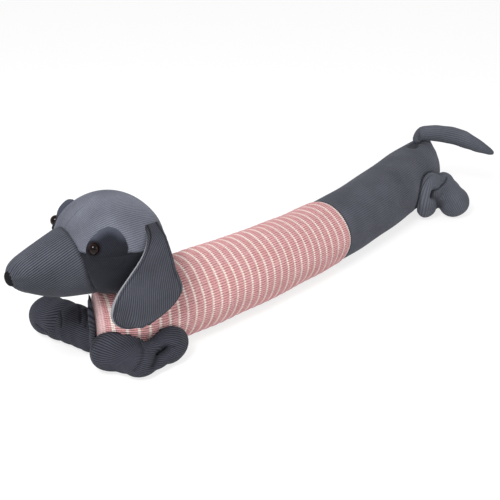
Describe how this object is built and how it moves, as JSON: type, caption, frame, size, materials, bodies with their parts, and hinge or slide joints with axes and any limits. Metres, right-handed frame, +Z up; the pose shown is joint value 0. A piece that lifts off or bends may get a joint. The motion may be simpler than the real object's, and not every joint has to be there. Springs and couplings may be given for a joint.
{
  "type": "dog draught excluder",
  "caption": "Long stuffed dog that lies along the foot of a door to stop draughts, with a striped knitted body and corduroy head, ears, legs, rump and tail.",
  "frame": {"origin": "on the floor, under the middle of the whole dog's box", "axes": "+X from the head towards the rump along the floor, +Y towards the dog's right side, +Z up"},
  "size_m": [0.8708, 0.2344, 0.2223],
  "materials": {
    "knit_jersey": "matte knitted jersey, pink with cream stripes",
    "corduroy_body": "fine-wale corduroy, slate grey",
    "corduroy_head": "fine-wale corduroy, slate grey",
    "corduroy_cheek": "fine-wale corduroy, slate grey",
    "corduroy_ear": "fine-wale corduroy, slate grey",
    "corduroy_leg": "fine-wale corduroy, slate grey",
    "corduroy_tail": "fine-wale corduroy, slate grey",
    "nose_patch": "black stitched patch",
    "eye_bead": "polished dark bead"
  },
  "bodies": {
    "root": {"jersey_body": "knit_jersey", "rump": "corduroy_body", "head_crown": "corduroy_head", "muzzle": "corduroy_head", "cheek_left": "corduroy_cheek", "cheek_right": "corduroy_cheek", "ear_left": "corduroy_ear", "ear_right": "corduroy_ear", "front_leg_left": "corduroy_leg", "front_leg_right": "corduroy_leg", "hind_leg_left": "corduroy_leg", "hind_leg_right": "corduroy_leg", "tail": "corduroy_tail", "nose": "nose_patch", "eye_left": "eye_bead", "eye_right": "eye_bead"}
  },
  "joints": []
}
